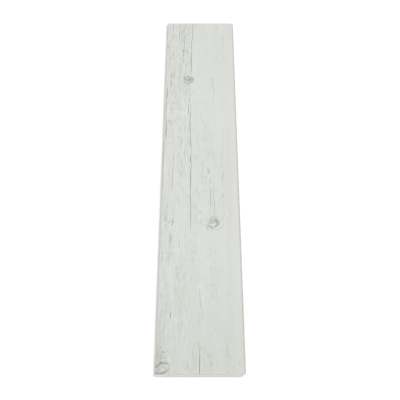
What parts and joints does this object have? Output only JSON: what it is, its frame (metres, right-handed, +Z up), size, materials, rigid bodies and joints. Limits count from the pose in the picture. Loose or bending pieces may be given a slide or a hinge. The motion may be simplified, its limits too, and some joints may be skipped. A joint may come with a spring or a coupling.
{
  "type": "laminate floor plank",
  "caption": "Long flat laminate floor plank with a pale whitewashed wood decor face and a click joint milled along all its edges.",
  "frame": {"origin": "on the underside, below the centre of the decor face", "axes": "+Z up, out of the decor face; +Y along the plank from the tongue end to the strip end; +X across it from the tongue side to the strip side"},
  "size_m": [0.2, 1.2922, 0.008],
  "materials": {
    "laminate_board": "matt"
  },
  "bodies": {
    "root": {"plank": "laminate_board"}
  },
  "joints": []
}
